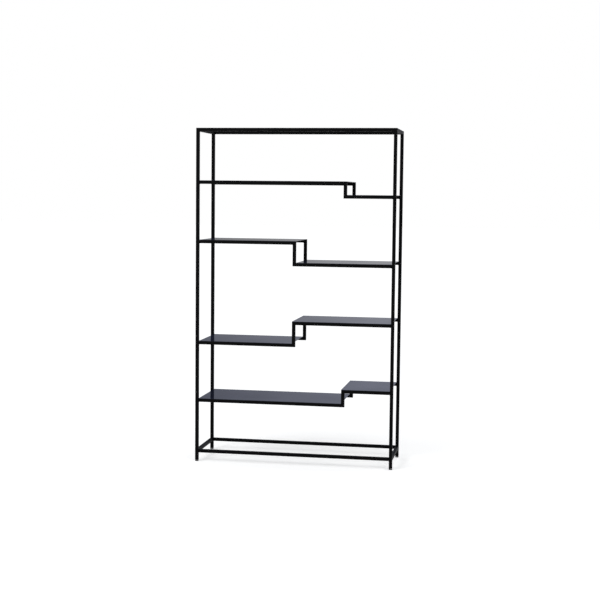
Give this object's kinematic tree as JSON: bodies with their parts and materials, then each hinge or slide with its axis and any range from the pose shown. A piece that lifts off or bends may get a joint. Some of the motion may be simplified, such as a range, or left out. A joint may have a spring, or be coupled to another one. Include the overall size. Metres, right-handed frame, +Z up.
{
  "type": "zigzag bookshelf",
  "caption": "Tall open bookshelf: a welded black square-tube frame with glossy sheet shelves that step up or down part way along each tier, on levelling feet.",
  "frame": {"origin": "on the floor, under the middle of the frame", "axes": "+Z up, +X to the right as seen from the front, the front faces -Y"},
  "size_m": [1.222, 0.407, 2.042],
  "materials": {
    "tube_black": "satin",
    "shelf_gloss": "gloss",
    "zinc_steel": "satin",
    "black_nylon": "matte"
  },
  "bodies": {
    "frame": {"post_front_left": "tube_black", "post_front_right": "tube_black", "post_rear_left": "tube_black", "post_rear_right": "tube_black", "post_top_plate_front_left": "tube_black", "post_top_plate_front_right": "tube_black", "post_top_plate_rear_left": "tube_black", "post_top_plate_rear_right": "tube_black", "top_rail_front": "tube_black", "top_rail_rear": "tube_black", "top_side_rail_left": "tube_black", "top_side_rail_right": "tube_black", "bottom_rail_front": "tube_black", "bottom_rail_rear": "tube_black", "bottom_side_rail_left": "tube_black", "bottom_side_rail_right": "tube_black", "tier_1_front_high_rail": "tube_black", "tier_1_front_riser": "tube_black", "tier_1_front_low_rail": "tube_black", "tier_1_rear_high_rail": "tube_black", "tier_1_rear_riser": "tube_black", "tier_1_rear_low_rail": "tube_black", "tier_1_high_shelf": "shelf_gloss", "tier_1_low_shelf": "shelf_gloss", "tier_2_front_high_rail": "tube_black", "tier_2_front_riser": "tube_black", "tier_2_front_low_rail": "tube_black", "tier_2_rear_high_rail": "tube_black", "tier_2_rear_riser": "tube_black", "tier_2_rear_low_rail": "tube_black", "tier_2_high_shelf": "shelf_gloss", "tier_2_low_shelf": "shelf_gloss", "tier_3_front_high_rail": "tube_black", "tier_3_front_riser": "tube_black", "tier_3_front_low_rail": "tube_black", "tier_3_rear_high_rail": "tube_black", "tier_3_rear_riser": "tube_black", "tier_3_rear_low_rail": "tube_black", "tier_3_high_shelf": "shelf_gloss", "tier_3_low_shelf": "shelf_gloss", "tier_4_front_high_rail": "tube_black", "tier_4_front_riser": "tube_black", "tier_4_front_low_rail": "tube_black", "tier_4_rear_high_rail": "tube_black", "tier_4_rear_riser": "tube_black", "tier_4_rear_low_rail": "tube_black", "tier_4_high_shelf": "shelf_gloss", "tier_4_low_shelf": "shelf_gloss", "foot_insert_front_left": "black_nylon", "foot_insert_front_right": "black_nylon", "foot_insert_rear_left": "black_nylon", "foot_insert_rear_right": "black_nylon"},
    "pad_front_left": {"foot_pad_front_left": "black_nylon"},
    "pad_front_right": {"foot_pad_front_right": "black_nylon"},
    "pad_rear_left": {"foot_pad_rear_left": "black_nylon"},
    "pad_rear_right": {"foot_pad_rear_right": "black_nylon"},
    "stem_front_left": {"foot_stem_front_left": "zinc_steel"},
    "stem_front_right": {"foot_stem_front_right": "zinc_steel"},
    "stem_rear_left": {"foot_stem_rear_left": "zinc_steel"},
    "stem_rear_right": {"foot_stem_rear_right": "zinc_steel"}
  },
  "joints": [
    {"name": "foot_front_left_lower", "type": "slide", "parent": "frame", "child": "pad_front_left", "axis": [0, 0, -1], "range_m": [0, 0.012]},
    {"name": "foot_front_right_lower", "type": "slide", "parent": "frame", "child": "pad_front_right", "axis": [0, 0, -1], "range_m": [0, 0.012]},
    {"name": "foot_rear_left_lower", "type": "slide", "parent": "frame", "child": "pad_rear_left", "axis": [0, 0, -1], "range_m": [0, 0.012]},
    {"name": "foot_rear_right_lower", "type": "slide", "parent": "frame", "child": "pad_rear_right", "axis": [0, 0, -1], "range_m": [0, 0.012]},
    {"name": "foot_front_left_turn", "type": "hinge", "parent": "pad_front_left", "child": "stem_front_left", "pos_m": [-0.6, -0.1925, 0.005], "axis": [0, 0, -1], "range_deg": [0, 4320]},
    {"name": "foot_front_right_turn", "type": "hinge", "parent": "pad_front_right", "child": "stem_front_right", "pos_m": [0.6, -0.1925, 0.005], "axis": [0, 0, -1], "range_deg": [0, 4320]},
    {"name": "foot_rear_left_turn", "type": "hinge", "parent": "pad_rear_left", "child": "stem_rear_left", "pos_m": [-0.6, 0.1925, 0.005], "axis": [0, 0, -1], "range_deg": [0, 4320]},
    {"name": "foot_rear_right_turn", "type": "hinge", "parent": "pad_rear_right", "child": "stem_rear_right", "pos_m": [0.6, 0.1925, 0.005], "axis": [0, 0, -1], "range_deg": [0, 4320]}
  ],
  "couplings": [
    {"joint": "foot_front_left_turn", "follows": "foot_front_left_lower", "rad_per_m": 6283.2},
    {"joint": "foot_front_right_turn", "follows": "foot_front_right_lower", "rad_per_m": 6283.2},
    {"joint": "foot_rear_left_turn", "follows": "foot_rear_left_lower", "rad_per_m": 6283.2},
    {"joint": "foot_rear_right_turn", "follows": "foot_rear_right_lower", "rad_per_m": 6283.2}
  ]
}
